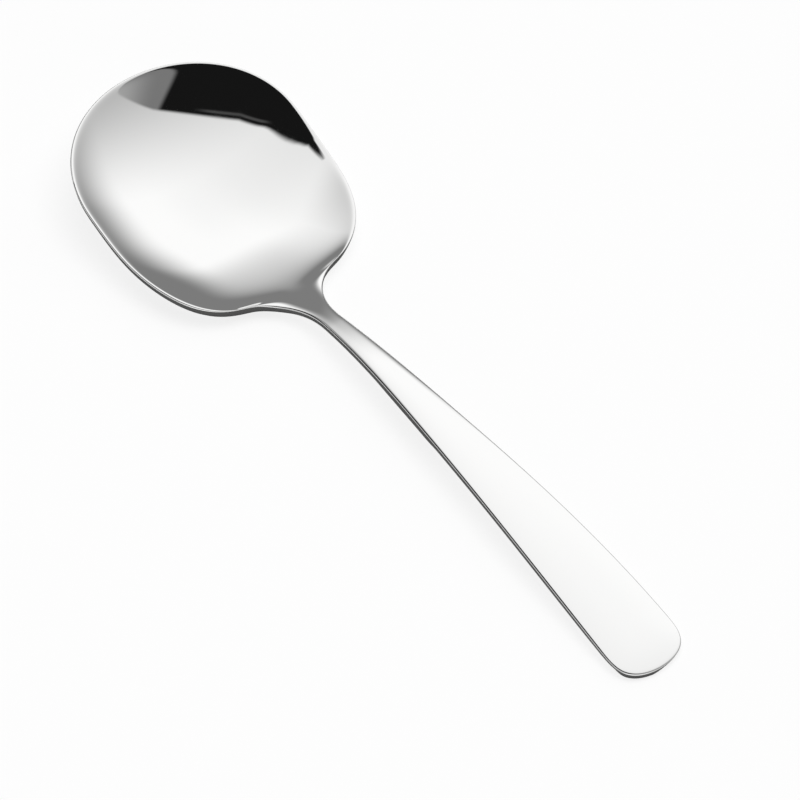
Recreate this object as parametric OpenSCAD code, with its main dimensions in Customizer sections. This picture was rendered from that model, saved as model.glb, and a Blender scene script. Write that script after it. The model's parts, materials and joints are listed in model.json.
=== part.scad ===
// Serving spoon in polished steel sheet: a wide shallow bowl and a tapering arched handle.
// Lengths are in millimetres. X runs along the spoon from the bowl's tip (-X) to the handle's
// end (+X), Z is up, and the spoon lies as on a table, on its bowl and on the handle's end.
// The outline and the edge height are functions of the distance from the tip.

/* [Overall] */
// Length from the bowl's tip to the handle's end
overall_l = 220; // [190:1:260]

/* [Bowl] */
// Greatest width of the bowl
bowl_w = 72; // [60:0.5:84]
// From the tip back to the greatest width
bowl_front = 29.1; // [25:0.1:34]
// From the greatest width back to where the shoulders would close without the neck
bowl_back = 43; // [38:0.1:48]
// Squareness of the front outline, where 2 is an ellipse
front_square = 1.98; // [1.9:0.02:2.4]
// Squareness of the shoulders' outline
shoulder_square = 3.2; // [2.6:0.05:3.6]
// Depth of the hollow under the edge, at the greatest width
bowl_depth = 8.6; // [7:0.1:11]
// Flatness of the hollow's bottom towards the tip and the sides, where 2 is a plain paraboloid
side_flatness = 2.1; // [2:0.1:2.8]
// Flatness of the hollow's bottom towards the neck
back_flatness = 3.2; // [2.2:0.1:4]
// Depth of the flat worn into the underside, on which the bowl lies without rocking
foot_flat = 0.25; // [0:0.05:0.4]

/* [Neck] */
// Width of the neck
neck_w = 6.3; // [5:0.1:9]
// Radius between shoulder and neck, seen from above
neck_fillet = 15.5; // [10:0.5:18]
// Distance from the end of that radius to the weld
weld_gap = 3.5; // [1:0.5:10]

/* [Handle] */
// Greatest width of the handle, near its end
grip_w = 23.3; // [18:0.1:28]
// How long the handle stays slim before it widens, where 1 widens at once
taper_power = 1.3; // [1:0.02:1.6]
// Length of the rounded end
end_round = 14.4; // [10:0.1:18]
// Squareness of the rounded end
end_square = 4.7; // [2.6:0.1:5.5]
// Crown of the handle's face above its edges
grip_crown = 0.5; // [0:0.1:1.2]
// Distance behind the edge's lowest place over which the crown rises
crown_l = 52; // [40:1:70]

/* [Heights above the table] */
// Edge at the bowl's tip
tip_h = 19.6; // [15:0.1:24]
// How much the tip droops below the line of the bowl's edge
tip_droop = 5.7; // [4:0.1:7.5]
// Length over which the tip droops
droop_l = 61; // [50:1:68]
// How much the edge is lifted along the shoulders, above a straight fall from the tip
shoulder_lift = 5.4; // [3.5:0.1:6.5]
// From the tip to where that lift starts
lift_from = 32; // [28:0.5:36]
// Length over which the edge is lifted
lift_l = 40; // [34:0.5:44]
// Edge at its lowest, beside the neck
dip_h = 4.2; // [3.2:0.1:6]
// Distance of that dip behind the shoulders
dip_gap = 1.5; // [0.5:0.1:5]
// Crest of the handle's arch
crest_h = 9.9; // [8.2:0.1:14]
// Distance from the dip to the crest
crest_l = 59.4; // [45:0.2:70]
// Top of the handle's end
end_h = 2.1; // [1.9:0.1:4]

/* [Sheet] */
// Thickness of the bowl
bowl_t = 1.4; // [1:0.1:2]
// Thickness of the neck
neck_t = 2.4; // [1.8:0.1:3.2]
// Thickness of the handle's end
end_t = 2; // [1.5:0.1:2.6]
// How far the rounded edge swells out, as a share of the thickness, where 0.5 is a half circle
edge_swell = 0.35; // [0.2:0.05:0.5]

/* [Hidden] */

half_bowl = bowl_w / 2;
half_neck = neck_w / 2;
half_grip = grip_w / 2;
shoulder_end = bowl_front + bowl_back;
dip_x = shoulder_end + dip_gap;
crest_x = dip_x + crest_l;
end_pole = overall_l - end_round;
// Exponents of the handle's arch before and behind its crest
arch_power = 3.1;
fall_power = 2.15;
// How softly the bowl runs out into the neck, at the edge and in the middle
join_soft = 1.4;
middle_soft = 3;
// The hollow's flat back gives way to its round sides with this power
back_power = 1.25;
// The crown is flat in the middle and falls off towards the edges with this power
crown_power = 2.5;
// The sheet thickens towards the weld over the first length and thins behind it over the second
thicken_l = 60;
thin_l = 100;
// Mesh density: rings from the middle to the edge, steps round the edge, stations on the outline
rings = 8;
ring_bias = 1.25;
edge_steps = 6;
front_steps = 32;
shoulder_steps = 14;
fillet_steps = 10;
neck_steps = 3;
handle_steps = 26;
end_steps = 18;
// Step for slopes
tiny = 0.05;

function smooth(t) = let (c = min(max(t, 0), 1)) c * c * c * (c * (6 * c - 15) + 10);
function soft_max(a, b, soft) = (a + b + sqrt((a - b) * (a - b) + soft * soft)) / 2;
function power(v, n) = v <= 0 ? 0 : pow(v, n);

// Shoulder outline: a point and its outward normal at angle a, from 90 at the greatest width
function shoulder(a) = [bowl_front + bowl_back * power(cos(a), 2 / shoulder_square),
                        half_bowl * power(sin(a), 2 / shoulder_square)];
function shoulder_normal(a) =
    let (n = [power(cos(a), 2 - 2 / shoulder_square) / bowl_back,
              power(sin(a), 2 - 2 / shoulder_square) / half_bowl])
    n / norm(n);
function fillet_centre(a) = shoulder(a) + neck_fillet * shoulder_normal(a);

// Angle at which the fillet leaves the shoulder, found by halving
function leave_angle(low, high, turns) =
    let (mid = (low + high) / 2)
    turns == 0 ? mid :
    fillet_centre(mid)[1] > half_neck + neck_fillet ? leave_angle(low, mid, turns - 1)
                                                    : leave_angle(mid, high, turns - 1);
leave_a = leave_angle(0, 90, 40);
leave_n = shoulder_normal(leave_a);
fillet_from = 180 + atan2(leave_n[1], leave_n[0]);
neck_x = fillet_centre(leave_a)[0];
weld_x = neck_x + weld_gap;

function handle_half(x) =
    let (t = min(max((x - neck_x) / (overall_l - neck_x), 0), 1))
    half_neck + (half_grip - half_neck) * sin(90 * pow(t, taper_power));

// Height along the spoon: a ramp over the bowl that drops to the neck, then the handle's arch
function ramp(x) =
    let (start = tip_h + tip_droop, foot = dip_h - shoulder_lift)
    start + (foot - start) * x / dip_x + shoulder_lift * smooth((x - lift_from) / lift_l)
    - tip_droop * pow(max(1 - x / droop_l, 0), 3);
function arch(x) =
    x < crest_x ? crest_h - (crest_h - dip_h) * pow((crest_x - x) / crest_l, arch_power)
                : crest_h - (crest_h - end_h) * pow((x - crest_x) / (overall_l - crest_x), fall_power);
function ridge(x, soft) = soft_max(ramp(x), arch(x), soft);

// The bowl's hollow, full in its middle and 0 on the outline
function dish(x, y) =
    let (front = x < bowl_front, n = front ? front_square : shoulder_square,
         along = pow(abs(x - bowl_front) / (front ? bowl_front : bowl_back), n),
         way = along + pow(abs(y) / half_bowl, n),
         back = front || way == 0 ? 0 : pow(along / way, back_power),
         flatness = side_flatness + (back_flatness - side_flatness) * back)
    bowl_depth * (1 - pow(way, flatness / n));
function crown(x) = grip_crown * smooth((x - dip_x) / crown_l);

// Height of the face at a share r of the way from the middle line to the rounded edge
function face_height(x, y, r) =
    let (inside = 1 - r * r)
    ridge(x, join_soft + (middle_soft - join_soft) * inside) + crown(x) * (1 - pow(r, crown_power))
    - soft_max(dish(x, y), 0, middle_soft * inside);
// Slope of the face, for a wall that keeps its thickness measured square to the sheet
function steep(x, y, r) =
    let (along = (face_height(x + tiny, y, r) - face_height(x - tiny, y, r)) / (2 * tiny),
         across = (face_height(x, y + tiny, r) - face_height(x, y - tiny, r)) / (2 * tiny))
    sqrt(1 + along * along + across * across);
function thickness(x) =
    bowl_t + (neck_t - bowl_t) * smooth((x - weld_x + thicken_l) / thicken_l)
    + (end_t - neck_t) * smooth((x - weld_x) / thin_l);

// Outlines as stations [x, y, centre x]: rings shrink from the edge point to the centre
function mirrored(half, turn) =
    concat(half, turn, [for (i = [len(half) - 1:-1:0]) [half[i][0], -half[i][1], half[i][2]]]);
bowl_side = concat(
    [for (i = [0:neck_steps - 1]) let (x = weld_x - weld_gap * i / neck_steps)
        [x, handle_half(x), x]],
    [for (i = [0:fillet_steps - 1])
        let (a = 270 - (270 - fillet_from) * i / fillet_steps, x = neck_x + neck_fillet * cos(a))
        [x, half_neck + neck_fillet * (1 + sin(a)), x]],
    [for (i = [0:shoulder_steps]) let (p = shoulder(leave_a + (90 - leave_a) * i / shoulder_steps))
        [p[0], p[1], p[0]]]);
bowl_turn = [for (i = [1:front_steps - 1]) let (a = 180 * i / front_steps, c = cos(a))
    [bowl_front - bowl_front * power(sin(a), 2 / front_square),
     sign(c) * half_bowl * power(abs(c), 2 / front_square), bowl_front]];
handle_side = [for (i = [0:handle_steps]) let (x = weld_x + (end_pole - weld_x) * i / handle_steps)
    [x, handle_half(x), x]];
handle_turn = [for (i = [1:end_steps - 1]) let (a = 180 * i / end_steps)
    let (x = end_pole + end_round * power(sin(a), 2 / end_square)) [x, handle_half(x) * cos(a), end_pole]];
bowl_path = mirrored(bowl_side, bowl_turn);
handle_path = mirrored(handle_side, handle_turn);

// Profile from the middle of the face over the rounded edge to the middle of the underside:
// [share of the way out, turn round the edge from 0 on the face to 180 on the underside]
function share(i) = 1 - pow(1 - i / rings, ring_bias);
profile = concat([for (i = [0:rings]) [share(i), 0]],
                 [for (i = [1:edge_steps - 1]) [1, 180 * i / edge_steps]],
                 [for (i = [rings:-1:0]) [share(i), 180]]);
last = len(profile) - 1;

function point(s, p) =
    let (way = [s[0] - s[2], s[1]], swell = edge_swell * thickness(s[0]) / norm(way),
         inner = p[0] * (1 - swell), outer = inner + swell * sin(p[1]),
         x = s[2] + way[0] * inner, y = way[1] * inner)
    [s[2] + way[0] * outer - overall_l / 2, way[1] * outer,
     face_height(x, y, p[0]) - thickness(x) * steep(x, y, p[0]) * (1 - cos(p[1])) / 2];

// All points of a piece: the two middle lines first, then one ring for each step of the profile
function middle(k, side) = min(k, side - 1);
function grid(path, side) = concat(
    [for (k = [0:side - 1]) point(path[k], profile[0])],
    [for (k = [0:side - 1]) point(path[k], profile[last])],
    [for (j = [1:last - 1], s = path) point(s, profile[j])]);
function index(j, k, n, side) =
    let (m = middle(min(k, n - 1 - k), side))
    j == 0 ? m : j == last ? side + m : 2 * side + (j - 1) * n + k;
function kept(t) = t[0] != t[1] && t[1] != t[2] && t[0] != t[2];
function skin(n, side) = [for (j = [0:last - 1], k = [0:n - 2])
    let (a = index(j, k, n, side), b = index(j, k + 1, n, side),
         c = index(j + 1, k + 1, n, side), d = index(j + 1, k, n, side))
    each [for (t = [[a, b, c], [a, c, d]]) if (kept(t)) t]];
function cap(n, side) = [concat([for (j = [0:last]) index(j, 0, n, side)],
                                [for (j = [last - 1:-1:1]) index(j, n - 1, n, side)])];
function turned(faces) = [for (f = faces) [for (i = [len(f) - 1:-1:0]) f[i]]];

bowl_points = grid(bowl_path, len(bowl_side));
handle_points = grid(handle_path, len(handle_side));
// Level of the table, up to which the underside of the bowl is flat
table_z = min([for (p = bowl_points) p[2]]) + foot_flat;

module bowl() {
    faces = concat(skin(len(bowl_path), len(bowl_side)), cap(len(bowl_path), len(bowl_side)));
    points = [for (p = bowl_points) [p[0], p[1], max(p[2], table_z)]];
    color("silver") translate([0, 0, -table_z]) polyhedron(points, faces);
}

module handle() {
    faces = concat(skin(len(handle_path), len(handle_side)), cap(len(handle_path), len(handle_side)));
    color("gainsboro") translate([0, 0, -table_z]) polyhedron(handle_points, turned(faces));
}

bowl();
handle();
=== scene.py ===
# %% [markdown]
# # A rice serving spoon in polished steel
# The spoon has two pieces, a bowl and a handle, which a weld at the neck joins. This lesson models both
# as one smooth skin, cuts it at the weld, gives it the look of mirror-polished steel and sets it on a
# pale table.

import json
import math

import bmesh
import bpy
from mathutils import Matrix, Vector

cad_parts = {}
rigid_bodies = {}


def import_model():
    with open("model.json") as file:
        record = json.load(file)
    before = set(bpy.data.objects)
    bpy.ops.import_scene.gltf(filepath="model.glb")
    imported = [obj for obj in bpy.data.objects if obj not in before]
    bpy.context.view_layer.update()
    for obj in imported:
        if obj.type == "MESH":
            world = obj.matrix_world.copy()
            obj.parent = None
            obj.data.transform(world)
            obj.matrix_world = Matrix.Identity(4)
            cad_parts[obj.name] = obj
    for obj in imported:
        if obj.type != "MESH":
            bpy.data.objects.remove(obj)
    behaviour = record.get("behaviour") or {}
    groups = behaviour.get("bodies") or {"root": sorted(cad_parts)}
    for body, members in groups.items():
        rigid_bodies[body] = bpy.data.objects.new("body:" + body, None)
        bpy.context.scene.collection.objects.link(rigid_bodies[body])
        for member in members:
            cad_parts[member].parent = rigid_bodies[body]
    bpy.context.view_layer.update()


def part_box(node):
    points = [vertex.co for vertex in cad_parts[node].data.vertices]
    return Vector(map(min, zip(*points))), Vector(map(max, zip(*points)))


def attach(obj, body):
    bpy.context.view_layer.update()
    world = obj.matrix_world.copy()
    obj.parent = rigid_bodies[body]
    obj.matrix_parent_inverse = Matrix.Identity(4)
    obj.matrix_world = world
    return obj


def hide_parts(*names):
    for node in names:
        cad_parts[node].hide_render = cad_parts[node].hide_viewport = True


# A new Blender file holds a cube, a lamp and a camera, which make room for the spoon
for leftover in list(bpy.data.objects):
    bpy.data.objects.remove(leftover)
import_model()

# %% [markdown]
# ## Sizes
# A spoon is drawn from its outline, seen from above, and from the height of its edge, seen from the side.
# Both are functions of the distance from the bowl's tip, so a few sizes describe the whole form.

# %% Sizes of the outline
mm = 0.001
length = 220 * mm
bowl_half = 72 / 2 * mm
bowl_front = 29.1 * mm
bowl_back = 43 * mm
front_square = 1.98
shoulder_square = 3.2
neck_half = 6.3 / 2 * mm
neck_fillet = 15.5 * mm
weld_gap = 3.5 * mm
grip_half = 23.3 / 2 * mm
taper_power = 1.3
end_round = 14.4 * mm
end_square = 4.7
end_pole = length - end_round
print("outline: bowl", 2 * bowl_half, "wide, handle", 2 * grip_half, "wide")

# %% Sizes of the side view
tip_height = 19.6 * mm
tip_droop = 5.7 * mm
droop_length = 61 * mm
shoulder_lift = 5.4 * mm
lift_from = 32 * mm
lift_length = 40 * mm
dip_height = 4.2 * mm
dip_gap = 1.5 * mm
dip_x = bowl_front + bowl_back + dip_gap
crest_height = 9.9 * mm
crest_length = 59.4 * mm
crest_x = dip_x + crest_length
end_height = 2.1 * mm
arch_power = 3.1
fall_power = 2.15
join_soft = 1.4 * mm
middle_soft = 3 * mm
print("side view: tip", tip_height, "high, crest", crest_height, "high")

# %% Sizes of the hollow and the crown
bowl_depth = 8.6 * mm
side_flatness = 2.1
back_flatness = 3.2
back_power = 1.25
crown_height = 0.5 * mm
crown_power = 2.5
crown_length = 52 * mm
print("hollow", bowl_depth, "deep, crown", crown_height, "high")


# %% Curves that the sizes drive
def ease(t):
    """A soft step from 0 to 1."""
    t = min(max(t, 0.0), 1.0)
    return t * t * t * (t * (6 * t - 15) + 10)


def soft_max(a, b, soft):
    """The larger of two heights, rounded where they cross."""
    return (a + b + math.sqrt((a - b) ** 2 + soft * soft)) / 2


def signed_power(value, power):
    """A power that keeps the sign of its value."""
    return math.copysign(abs(value) ** power, value)


def shoulder(angle):
    """A point of the shoulder and its outward normal, from a quarter turn at the widest place down to 0."""
    c, s, power = math.cos(angle), math.sin(angle), 2 / shoulder_square
    point = Vector((bowl_front + bowl_back * abs(c) ** power, bowl_half * abs(s) ** power))
    normal = Vector((abs(c) ** (2 - power) / bowl_back, abs(s) ** (2 - power) / bowl_half))
    return point, normal.normalized()


# The neck's fillet leaves the shoulder at an angle that is found by halving
quarter = math.pi / 2
halvings = 50
low, high = 0.0, quarter
for _ in range(halvings):
    leave_angle = (low + high) / 2
    point, normal = shoulder(leave_angle)
    if point.y + neck_fillet * normal.y > neck_half + neck_fillet:
        high = leave_angle
    else:
        low = leave_angle
neck_x = point.x + neck_fillet * normal.x
fillet_from = math.pi + math.atan2(normal.y, normal.x)
weld_x = neck_x + weld_gap
print("the weld lies", round(weld_x / mm, 2), "mm behind the tip")


# %% Curves from the neck to the handle's end
def handle_half(x):
    """Half the handle's width, slim at the neck and wide at the end."""
    t = min(max((x - neck_x) / (length - neck_x), 0.0), 1.0)
    return neck_half + (grip_half - neck_half) * math.sin(quarter * t ** taper_power)


def ridge(x, soft):
    """Height along the spoon: a ramp over the bowl, softly joined to the handle's arch."""
    start, foot = tip_height + tip_droop, dip_height - shoulder_lift
    ramp = start + (foot - start) * x / dip_x + shoulder_lift * ease((x - lift_from) / lift_length)
    ramp -= tip_droop * max(1 - x / droop_length, 0) ** 3
    if x < crest_x:
        arch = crest_height - (crest_height - dip_height) * ((crest_x - x) / (crest_x - dip_x)) ** arch_power
    else:
        arch = crest_height - (crest_height - end_height) * ((x - crest_x) / (length - crest_x)) ** fall_power
    return soft_max(ramp, arch, soft)


print("height over the dip:", round(ridge(dip_x, join_soft) / mm, 2), "mm")


# %% Curves of the face
def dish(x, y):
    """The bowl's hollow, full in its middle and 0 on the outline."""
    front = x < bowl_front
    square = front_square if front else shoulder_square
    along = abs((x - bowl_front) / (bowl_front if front else bowl_back)) ** square
    way = along + abs(y / bowl_half) ** square
    back_share = 0 if front or way == 0 else (along / way) ** back_power
    flatness = side_flatness + (back_flatness - side_flatness) * back_share
    return bowl_depth * (1 - way ** (flatness / square))


def face_height(x, y, share):
    """Height of the face, where share runs from 0 in the middle to 1 where the rounded edge starts."""
    inside = max(1 - share * share, 0)
    crown = crown_height * ease((x - dip_x) / crown_length) * (1 - share ** crown_power)
    hollow = soft_max(dish(x, y), 0, middle_soft * inside)
    return ridge(x, join_soft + (middle_soft - join_soft) * inside) - hollow + crown


print("bottom of the bowl:", round(face_height(bowl_front, 0, 0) / mm, 2), "mm")

# %% Thickness of the steel
bowl_sheet = 1.4 * mm
neck_sheet = 2.4 * mm
end_sheet = 2 * mm
thicken_length = 60 * mm
thin_length = 100 * mm
edge_swell = 0.35


def sheet(x):
    """Thickness of the steel: thin in the bowl, thick at the neck, thinner again in the handle."""
    grown = (neck_sheet - bowl_sheet) * ease((x - weld_x + thicken_length) / thicken_length)
    return bowl_sheet + grown + (end_sheet - neck_sheet) * ease((x - weld_x) / thin_length)


print("steel at the weld:", round(sheet(weld_x) / mm, 2), "mm thick")

# %% [markdown]
# ## The cage
# The face of the spoon is a sheet. In the flat it has the plan of a running track: half a disc for the
# front of the bowl, a long strip, and half a disc for the end of the handle. A chain of edges is spun for
# each half disc and extruded for the strip. The track is then bent into the spoon by moving each vertex
# to its place.

# %% Stations along the strip
rings = 9
front_steps = 24
shoulder_steps = 14
fillet_steps = 8
neck_steps = 2
handle_steps = 24
end_steps = 14
ring_bias = 1.25
shares = [1 - (1 - i / rings) ** ring_bias for i in range(rings + 1)]

stations = []
for i in range(shoulder_steps + 1):
    angle = quarter + (leave_angle - quarter) * i / shoulder_steps
    stations.append(tuple(shoulder(angle)[0]))
for i in range(1, fillet_steps + 1):
    angle = fillet_from + (3 * quarter - fillet_from) * i / fillet_steps
    stations.append((neck_x + neck_fillet * math.cos(angle), neck_half + neck_fillet * (1 + math.sin(angle))))
for i in range(1, neck_steps + 1):
    x = neck_x + weld_gap * i / neck_steps
    stations.append((x, handle_half(x)))
for i in range(1, handle_steps + 1):
    x = weld_x + (end_pole - weld_x) * i / handle_steps
    stations.append((x, handle_half(x)))
last_station = len(stations) - 1
print(len(stations), "stations from the widest place to the handle's end")


# %% A flat running track
def half_disc(bm, centre_x, start_y, steps):
    """Spins a spoke of ring points through half a turn about a pole."""
    end = bm.verts.new((centre_x, 0, 0))
    spoke = [end]
    for share in shares[1:]:
        end = bmesh.ops.extrude_vert_indiv(bm, verts=[end])["verts"][0]
        end.co = (centre_x, start_y * share, 0)
        spoke.append(end)
    edges = [e for e in bm.edges if all(v in spoke for v in e.verts)]
    bmesh.ops.spin(bm, geom=spoke + edges, cent=(centre_x, 0, 0), axis=(0, 0, 1), angle=math.pi, steps=steps)


# The flat track is one unit wide on each side, and one unit long from station to station
near = 1e-3
bm = bmesh.new()
half_disc(bm, 0, 1, front_steps)
bmesh.ops.remove_doubles(bm, verts=bm.verts[:], dist=near)
across = [e for e in bm.edges if all(abs(v.co.x) < near for v in e.verts)]
for station in range(last_station):
    made = bmesh.ops.extrude_edge_only(bm, edges=across)["geom"]
    moved = [g for g in made if isinstance(g, bmesh.types.BMVert)]
    bmesh.ops.translate(bm, verts=moved, vec=(1, 0, 0))
    across = [g for g in made if isinstance(g, bmesh.types.BMEdge)
              and all(abs(v.co.x - station - 1) < near for v in g.verts)]
half_disc(bm, last_station, -1, end_steps)
bmesh.ops.remove_doubles(bm, verts=bm.verts[:], dist=near)
print("running track:", len(bm.verts), "vertices,", len(bm.faces), "faces")

# %% Bend the track into the spoon's face
for v in bm.verts:
    u, w = v.co.x, v.co.y
    if u < -near:
        share = math.hypot(u, w)
        edge_x = bowl_front - bowl_front * (-u / share) ** (2 / front_square)
        edge_y = bowl_half * signed_power(w / share, 2 / front_square)
        centre_x = bowl_front
    elif u > last_station + near:
        share = math.hypot(u - last_station, w)
        turn = quarter * (math.atan2(u - last_station, abs(w)) / quarter) ** (end_square / 2)
        edge_x = end_pole + end_round * math.sin(turn) ** (2 / end_square)
        edge_y = handle_half(edge_x) * math.copysign(math.cos(turn), w)
        centre_x = end_pole
    else:
        share = abs(w)
        centre_x, half = stations[round(u)]
        edge_x, edge_y = centre_x, math.copysign(half, w)
    way = math.hypot(edge_x - centre_x, edge_y)
    inner = share * (1 - edge_swell * sheet(edge_x) / way)
    x = centre_x + (edge_x - centre_x) * inner
    y = edge_y * inner
    v.co = (x - length / 2, y, face_height(x, y, share))
bmesh.ops.recalc_face_normals(bm, faces=bm.faces[:])
if sum(f.normal.z for f in bm.faces) < 0:
    bmesh.ops.reverse_faces(bm, faces=bm.faces[:])
bm.normal_update()
print("face of the spoon: from", round(min(v.co.z for v in bm.verts) / mm, 2), "to",
      round(max(v.co.z for v in bm.verts) / mm, 2), "mm high")

# %% [markdown]
# ## Thickness, edge and skin
# Pressed cutlery has a rounded edge all round. The sheet is extruded downwards, which makes an upright
# wall. The wall is cut into steps and swollen into half an ellipse. A Subdivision Surface then turns the
# cage into one skin whose curvature flows, because a mirror shows every kink.

# %% Give the sheet its thickness
made = bmesh.ops.extrude_face_region(bm, geom=bm.faces[:], use_keep_orig=True)["geom"]
lower = {g for g in made if isinstance(g, bmesh.types.BMVert)}
bm.normal_update()
# The thickness is measured square to the face, so a slope drops further, up to a limit
steepest = 0.3
for v in lower:
    v.co.z -= sheet(v.co.x + length / 2) / max(abs(v.normal.z), steepest)
bmesh.ops.recalc_face_normals(bm, faces=bm.faces[:])
uprights = [e for e in bm.edges if (e.verts[0] in lower) != (e.verts[1] in lower)]
print("sheet:", len(bm.faces), "faces,", len(uprights), "uprights in the wall")

# %% Swell the wall into a rounded edge
edge_cuts = 5
plan_digits = 7


def plan_spot(v):
    """The place of a vertex seen from above, the same for a whole upright."""
    return round(v.co.x, plan_digits), round(v.co.y, plan_digits)


columns = {plan_spot(e.verts[0]): [] for e in uprights}
bmesh.ops.subdivide_edges(bm, edges=uprights, cuts=edge_cuts)
for v in bm.verts:
    if plan_spot(v) in columns:
        columns[plan_spot(v)].append(v)
for (x, y), column in columns.items():
    top = max(v.co.z for v in column)
    drop = top - min(v.co.z for v in column)
    x += length / 2
    outward = Vector((x - min(max(x, bowl_front), end_pole), y, 0)).normalized()
    for v in column:
        turn = math.pi * (top - v.co.z) / drop
        v.co += outward * edge_swell * sheet(x) * math.sin(turn)
        v.co.z = top - drop * (1 - math.cos(turn)) / 2
bmesh.ops.recalc_face_normals(bm, faces=bm.faces[:])
print("rounded edge:", len(bm.faces), "faces, open edges", sum(e.is_boundary for e in bm.edges))

# %% Turn the cage into a smooth skin
smoothness = 2
cage_mesh = bpy.data.meshes.new("spoon_cage")
bm.to_mesh(cage_mesh)
bm.free()
cage = bpy.data.objects.new("spoon_cage", cage_mesh)
bpy.context.scene.collection.objects.link(cage)
skin = cage.modifiers.new("skin", "SUBSURF")
skin.levels = smoothness
skin.render_levels = smoothness
bpy.context.view_layer.update()
skin_mesh = bpy.data.meshes.new_from_object(cage.evaluated_get(bpy.context.evaluated_depsgraph_get()))
bpy.data.objects.remove(cage)
print("skin:", len(skin_mesh.polygons), "faces")

# %% Wear a flat into the underside
foot_flat = 0.25 * mm
table_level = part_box("bowl")[0].z
foot = min(v.co.z for v in skin_mesh.vertices) + foot_flat
for v in skin_mesh.vertices:
    v.co.z = max(v.co.z, foot)
skin_mesh.transform(Matrix.Translation((0, 0, table_level - foot)))
print("the skin was lowered by", round((foot - table_level) / mm, 3), "mm")

# %% [markdown]
# ## Two pieces
# The weld at the neck is ground flush and polished, so the two pieces share one surface. One skin is cut
# by a plane and each half is closed with a flat face, so no groove shows in the mirror.


# %% Cut the skin at the weld
cut_reach = 1e-7


def cut_piece(name, keep_side):
    """The part of the skin on one side of the weld, closed with a flat face."""
    half = bmesh.new()
    half.from_mesh(skin_mesh)
    cut = bmesh.ops.bisect_plane(half, geom=half.verts[:] + half.edges[:] + half.faces[:], dist=cut_reach,
                                 plane_co=(weld_x - length / 2, 0, 0), plane_no=(1, 0, 0),
                                 clear_outer=keep_side < 0, clear_inner=keep_side > 0)["geom_cut"]
    ring = [g for g in cut if isinstance(g, bmesh.types.BMEdge)]
    for f in half.faces:
        f.smooth = True
    closing = bmesh.ops.edgeloop_fill(half, edges=ring)["faces"]
    for f in closing:
        f.smooth = False
    for e in ring:
        e.smooth = False
    bmesh.ops.recalc_face_normals(half, faces=half.faces[:])
    mesh = bpy.data.meshes.new(name)
    half.to_mesh(mesh)
    half.free()
    piece = bpy.data.objects.new(name, mesh)
    bpy.context.scene.collection.objects.link(piece)
    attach(piece, "root")
    print(name, len(mesh.polygons), "faces")
    return piece


bowl = cut_piece("polished_bowl", -1)
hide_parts("bowl")
handle = cut_piece("polished_handle", 1)
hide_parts("handle")
bpy.data.meshes.remove(skin_mesh)


# %% [markdown]
# ## Shader sums
# Node trees are easier to read as sums. This class wraps one socket: each operator adds a Math node, and
# node() adds any other node, with its settings first and its sockets second.

# %% A wire that can be used in sums
class Wire:
    """One output socket of a node tree."""

    def __init__(self, tree, socket=None):
        self.tree = tree
        self.socket = socket

    def node(self, kind, settings=None, inputs=None, output=0):
        """Adds a node, and gives the wire from one of its outputs."""
        made = self.tree.nodes.new(kind)
        for name, value in (settings or {}).items():
            setattr(made, name, value)
        for key, value in (inputs or {}).items():
            if isinstance(value, Wire):
                self.tree.links.new(value.socket, made.inputs[key])
            else:
                made.inputs[key].default_value = value
        return Wire(self.tree, made.outputs[output]) if made.outputs else made

    def sum(self, operation, *values):
        """Adds a Math node."""
        return self.node("ShaderNodeMath", {"operation": operation}, dict(enumerate(values)))

    def step(self, start, end, low=0.0, high=1.0):
        """A soft step from low at start to high at end."""
        inputs = {"Value": self, "From Min": start, "From Max": end, "To Min": low, "To Max": high}
        return self.node("ShaderNodeMapRange", {"interpolation_type": "SMOOTHSTEP"}, inputs)

    def __add__(self, other):
        return self.sum("ADD", self, other)

    def __sub__(self, other):
        return self.sum("SUBTRACT", self, other)

    def __rsub__(self, other):
        return self.sum("SUBTRACT", other, self)

    def __mul__(self, other):
        return self.sum("MULTIPLY", self, other)

    def __truediv__(self, other):
        return self.sum("DIVIDE", self, other)

    def at_least(self, other):
        return self.sum("MAXIMUM", self, other)

    def clamp(self, low, high):
        return self.node("ShaderNodeClamp", inputs={"Value": self, "Min": low, "Max": high})

    __radd__ = __add__
    __rmul__ = __mul__


def new_material(name):
    """An empty node material and a wire to build it with."""
    material = bpy.data.materials.new(name)
    material.use_nodes = True
    material.node_tree.nodes.clear()
    return material, Wire(material.node_tree)


# %% [markdown]
# ## Polished steel
# A buffed spoon is a mirror, but not a perfect one: the sheet waves a little, the buffing wheel leaves
# hair-thin lines along the length, and handling dulls small patches. The waves and lines go into a Bump
# node, the dull patches into the roughness.

# %% Waves, buffing lines and dull patches
wave_scale = 60.0
line_stretch = (18, 900, 900)
line_scale = 3.0
patch_scale = 140.0
patch_grain = 0.6
polished_steel, wire = new_material("polished_steel")
place = wire.node("ShaderNodeTexCoord", output="Object")
waves = wire.node("ShaderNodeTexNoise", inputs={"Vector": place, "Scale": wave_scale, "Detail": 1.0})
stretched = wire.node("ShaderNodeMapping", inputs={"Vector": place, "Scale": line_stretch})
lines = wire.node("ShaderNodeTexNoise", inputs={"Vector": stretched, "Scale": line_scale, "Detail": 3.0})
patches = wire.node("ShaderNodeTexNoise", inputs={"Vector": place, "Scale": patch_scale, "Detail": 4.0,
                                                  "Roughness": patch_grain})
print("buffing lines are drawn out", line_stretch[1] // line_stretch[0], "times along the spoon")

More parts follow.
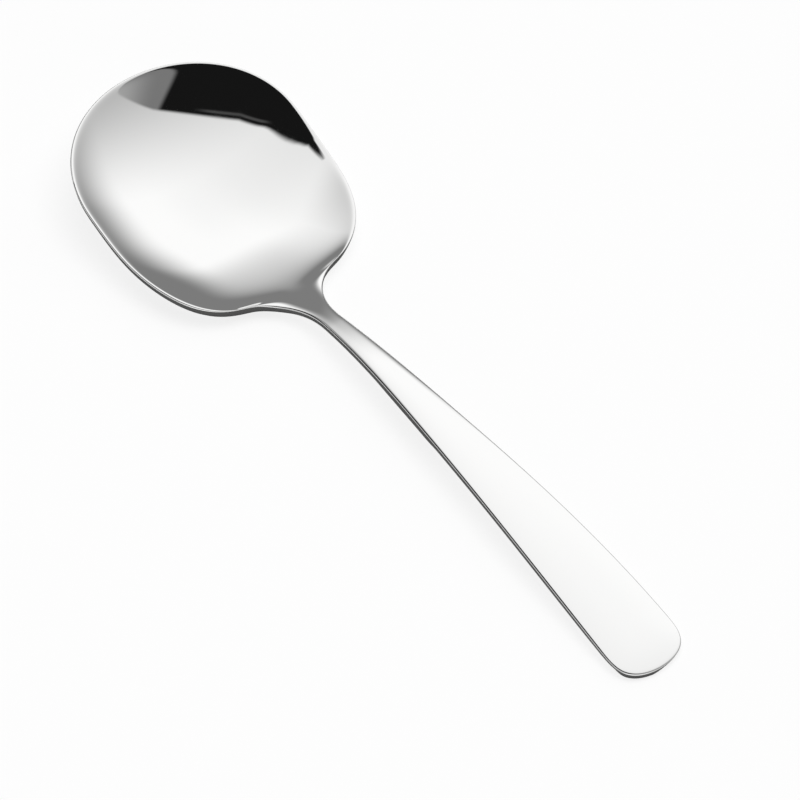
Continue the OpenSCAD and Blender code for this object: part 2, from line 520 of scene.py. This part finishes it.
# %% Polished steel
steel_colour = (0.90, 0.90, 0.895, 1)
wave_height = 0.004 * mm
line_share = 0.02
polish = 0.015
patch_dullness = 0.04
line_dullness = 0.015
patch_from, patch_full = 0.35, 0.75
line_from, line_full = 0.55, 0.8
relief = wire.node("ShaderNodeBump", inputs={"Strength": 1.0, "Distance": wave_height,
                                             "Height": waves + lines * line_share})
dull = patches.step(patch_from, patch_full, polish, patch_dullness)
dull = dull + lines.step(line_from, line_full, 0.0, line_dullness)
steel = wire.node("ShaderNodeBsdfPrincipled", inputs={"Base Color": steel_colour, "Metallic": 1.0,
                                                      "Roughness": dull, "Normal": relief})
wire.node("ShaderNodeOutputMaterial", inputs={"Surface": steel})
for piece in (bowl, handle):
    piece.data.materials.append(polished_steel)
print("polished steel on", bowl.name, "and", handle.name)

# %% [markdown]
# ## Camera
# The photograph is taken from above, from the side of the handle, with a long lens. The camera looks at
# the middle of the picture, and it is rolled a little.

# %% Camera
azimuth = math.radians(38.37)
elevation = math.radians(48.64)
roll = math.radians(-14.42)
distance = 2.0
pixels_per_metre = 3849.5
picture = 800
origin_pixel = (383.4, 392.7)
sensor = 36.0
sight = 50
back = Vector((math.sin(azimuth) * math.cos(elevation), -math.cos(azimuth) * math.cos(elevation),
               math.sin(elevation)))
level_right = Vector((math.cos(azimuth), math.sin(azimuth), 0))
level_up = back.cross(level_right)
right = math.cos(roll) * level_right - math.sin(roll) * level_up
up = math.sin(roll) * level_right + math.cos(roll) * level_up
pixels_right = picture / 2 - origin_pixel[0]
pixels_up = origin_pixel[1] - picture / 2
target = (right * pixels_right + up * pixels_up) / pixels_per_metre
lens = bpy.data.cameras.new("camera")
lens.sensor_width = sensor
lens.lens = distance * pixels_per_metre / picture * sensor
lens.clip_end = sight
camera = bpy.data.objects.new("camera", lens)
bpy.context.scene.collection.objects.link(camera)
turn = Matrix((right, up, back)).transposed().to_4x4()
camera.matrix_world = Matrix.Translation(target + back * distance) @ turn
bpy.context.scene.camera = camera
print("camera with a lens of", round(lens.lens), "mm")

# %% [markdown]
# ## Studio
# A mirror shows its room. A picture of a room could surround the spoon, but a few soft steps between
# white and black are easier to move until each reflection lies right. A wide white ceiling hangs over the
# table and fades to grey towards the left, the right and the far wall. On the camera's side a dark gap
# starts almost overhead, and the bowl mirrors it as a black shape. Pale walls stand low on that side and
# at the left. The camera itself sees plain white.

# %% Directions in the room
lowest = 0.02
room = bpy.data.worlds.new("room")
bpy.context.scene.world = room
room.use_nodes = True
room.node_tree.nodes.clear()
wire = Wire(room.node_tree)
direction = wire.node("ShaderNodeTexCoord", output="Generated")


def facing(side):
    """How far a direction points to one side, from -1 to 1."""
    product = {"operation": "DOT_PRODUCT"}
    return wire.node("ShaderNodeVectorMath", product, {0: direction, 1: side}, output="Value")


camera_side = Vector((back.x, back.y, 0)).normalized()
height = facing((0, 0, 1))
above = height.at_least(lowest)
to_right = facing(level_right) / above
to_back = facing(-camera_side) / above
print("the camera stands towards", tuple(round(v, 2) for v in camera_side))

# %% [markdown]
# Each place in the room is a direction, told by how far it leads to the right and to the back for every
# metre that it rises. The values below are such distances, from where a fade starts to where it ends, or
# how bright the light is there. A lean turns a straight fade, so that it runs slantwise over the ceiling.

# %% The ceiling and its fades
ceiling_light = 1.08
wall_grey = 0.22
left_fade = (-0.7, -0.1)
left_lean, left_lean_from, left_lean_middle = 0.44, 0.55, 1.05
right_fade, right_light = (0.3, 1.7), 0.25
right_lean, right_lean_middle = 0.6, 0.5
low_fade = (0.16, 0.54)
near_fade, near_light = (-0.6, 1.0), 0.7
left_wall, left_wall_light = (-0.9, -1.7), 0.5
leftward = to_right - left_lean * (to_back.at_least(left_lean_from) - left_lean_middle)
rightward = to_right - right_lean * (to_back - right_lean_middle)
fade = leftward.step(*left_fade) * rightward.step(*right_fade, 1.0, right_light)
fade = fade * height.step(*low_fade) * to_back.step(*near_fade, near_light, 1.0)
ceiling = fade * (ceiling_light - wall_grey) + wall_grey + to_right.step(*left_wall, 0.0, left_wall_light)
print("ceiling of", ceiling_light, "over walls of", wall_grey)

# %% The border of the dark gap
gap_from = 0.132
bend_from, bend_reach = 0.18, 0.6
bend_slope, bend_curve = 0.25, 0.29
tail_from, tail_reach, tail_slope = -0.2, 0.155, 0.75
dent, dent_depth = (-0.03, -0.16), 0.03
corner_from, corner_slope = 0.78, 0.44
border_blur = 0.015
bend = (to_right - bend_from).clamp(0.0, bend_reach)
tail = (tail_from - to_right).clamp(0.0, tail_reach)
wander = to_right.step(*dent, 0.0, dent_depth) - tail_slope * tail
border = to_back + gap_from + wander - bend * (bend_slope + bend_curve * bend)
border = border - corner_slope * (to_right - corner_from).at_least(0.0)
dark_side = border.step(border_blur, -border_blur)
print("the dark gap starts", gap_from, "m on the camera's side for every metre up")

# %% Light in the dark gap
gap_light = 0.008
slit_far, slit_near = (-0.022, -0.034), (-0.052, -0.038)
slit_right, slit_left = (0.5, 0.35), (-0.06, 0.03)
slit_light = 0.06
pane_lean = 0.15
pane_fade, pane_light = (0.7, 0.75), 0.2
glow_fade, glow_light = (0.8, 1.15), 0.18
near_wall, near_wall_light = (-0.9, -1.6), 0.55
slit = border.step(*slit_near) * border.step(*slit_far)
slit = slit * to_right.step(*slit_right) * to_right.step(*slit_left)
pane_edge = to_right - pane_lean * to_back
dark_light = pane_edge.step(*pane_fade, gap_light, pane_light) + to_right.step(*glow_fade, 0.0, glow_light)
dark_light = dark_light + slit * slit_light
dark_light = dark_light + to_back.step(*near_wall, 0.0, near_wall_light)
print("light in the dark gap:", gap_light, "with a pane of", pane_light, "at its right")

# %% Put the room together
light = ceiling + dark_side * (dark_light - ceiling)
rays = wire.node("ShaderNodeLightPath", output="Is Camera Ray")
shown = rays + (1 - rays) * light
background = wire.node("ShaderNodeBackground", inputs={"Color": shown, "Strength": 1.0})
wire.node("ShaderNodeOutputWorld", inputs={"Surface": background})
print("room of", len(room.node_tree.nodes), "nodes")

# %% [markdown]
# ## Table
# The spoon lies on white. The ceiling alone would light the table unevenly, so a soft round lamp hangs
# over it, which no mirror shows. The table is white paint, so that it takes a faint shadow, mixed with an
# even white glow where the camera or a mirror looks at it.

# %% A soft lamp for the table
lamp_width = 1.6
lamp_height = 1.6
lamp_power = 17
lamp_data = bpy.data.lights.new("soft_lamp", "AREA")
lamp_data.shape = "DISK"
lamp_data.size = lamp_width
lamp_data.energy = lamp_power
lamp = bpy.data.objects.new("soft_lamp", lamp_data)
bpy.context.scene.collection.objects.link(lamp)
lamp.location = (0, 0, lamp_height)
lamp.visible_glossy = False
print("lamp of", lamp_power, "W over the table")

# %% The table
table_radius = 4.0
table_gap = 0.05 * mm
round_steps = 96
bm = bmesh.new()
bmesh.ops.create_circle(bm, cap_ends=True, segments=round_steps, radius=table_radius)
bmesh.ops.translate(bm, verts=bm.verts[:], vec=(0, 0, table_level - table_gap))
table_mesh = bpy.data.meshes.new("table")
bm.to_mesh(table_mesh)
bm.free()
table = bpy.data.objects.new("table", table_mesh)
bpy.context.scene.collection.objects.link(table)
print("table of", 2 * table_radius, "m across")

# %% Pale paint for the table
paint_colour = (0.9, 0.9, 0.9, 1)
glow_colour = (1, 1, 1, 1)
glow_share = 0.8
pale_table, wire = new_material("pale_table")
path = {name: wire.node("ShaderNodeLightPath", output=name)
        for name in ("Is Camera Ray", "Is Glossy Ray", "Is Transmission Ray")}
seen = path["Is Camera Ray"] + path["Is Glossy Ray"] + path["Is Transmission Ray"]
paint = wire.node("ShaderNodeBsdfDiffuse", inputs={"Color": paint_colour})
glow = wire.node("ShaderNodeEmission", inputs={"Color": glow_colour, "Strength": 1.0})
mixed = wire.node("ShaderNodeMixShader", inputs={0: seen * glow_share, 1: paint, 2: glow})
wire.node("ShaderNodeOutputMaterial", inputs={"Surface": mixed})
table.data.materials.append(pale_table)
print("table painted with", len(pale_table.node_tree.nodes), "nodes")

# %% [markdown]
# ## Black cards of painted shade
# Like the black cards that photographers lay beside bright metal, these cards are painted shade: they stand
# in for the shaded table and the dark room round the spoon, so that its rounded edges mirror something dark
# and stand out against the white table. One card lies before the tip, one beside the bowl, one along the
# handle, one near the handle's end and one behind the neck. Only mirrors show them: the camera doesn't
# see them, and they darken nothing on the table. Their places and sizes are in millimetres, and their
# turns in degrees.

# %% Black cards of painted shade beside the spoon
# The cards' black is painted shade: in the spoon's edges it stands in for the shaded table and the dark room
# round it
mirrored_shade_black = (0.09, 0.09, 0.09, 1)
painted_shade_card, wire = new_material("painted_shade_card")
ink = wire.node("ShaderNodeBsdfDiffuse", inputs={"Color": mirrored_shade_black})
wire.node("ShaderNodeOutputMaterial", inputs={"Surface": ink})


def lay_shade_card(name, middle, size, turn):
    """A black card of painted shade on the table, seen only in mirrors, turned about the upright axis."""
    bm = bmesh.new()
    bmesh.ops.create_grid(bm, x_segments=1, y_segments=1, size=0.5)
    bmesh.ops.scale(bm, verts=bm.verts[:], vec=(size[0] * mm, size[1] * mm, 1))
    bmesh.ops.rotate(bm, verts=bm.verts[:], matrix=Matrix.Rotation(math.radians(turn), 3, "Z"))
    bmesh.ops.translate(bm, verts=bm.verts[:], vec=(middle[0] * mm, middle[1] * mm, table_level))
    mesh = bpy.data.meshes.new(name)
    bm.to_mesh(mesh)
    bm.free()
    mesh.materials.append(painted_shade_card)
    card = bpy.data.objects.new(name, mesh)
    bpy.context.scene.collection.objects.link(card)
    card.visible_camera = False
    card.visible_diffuse = False
    card.visible_shadow = False
    print(name, "of", size[0], "x", size[1], "mm")


# Each card puts painted shade where the spoon's edges mirror the table beside them
lay_shade_card("tip_shade_card", middle=(-196, -60), size=(148, 200), turn=0)
lay_shade_card("bowl_shade_card", middle=(-44, -107), size=(200, 150), turn=24)
lay_shade_card("handle_shade_card", middle=(31, -85), size=(157, 150), turn=-4)
lay_shade_card("end_shade_card", middle=(144, -70), size=(120, 150), turn=-25)
lay_shade_card("neck_shade_card", middle=(-15, 52), size=(50, 76), turn=0)

# %% Finish
bpy.context.scene.view_settings.view_transform = "Standard"
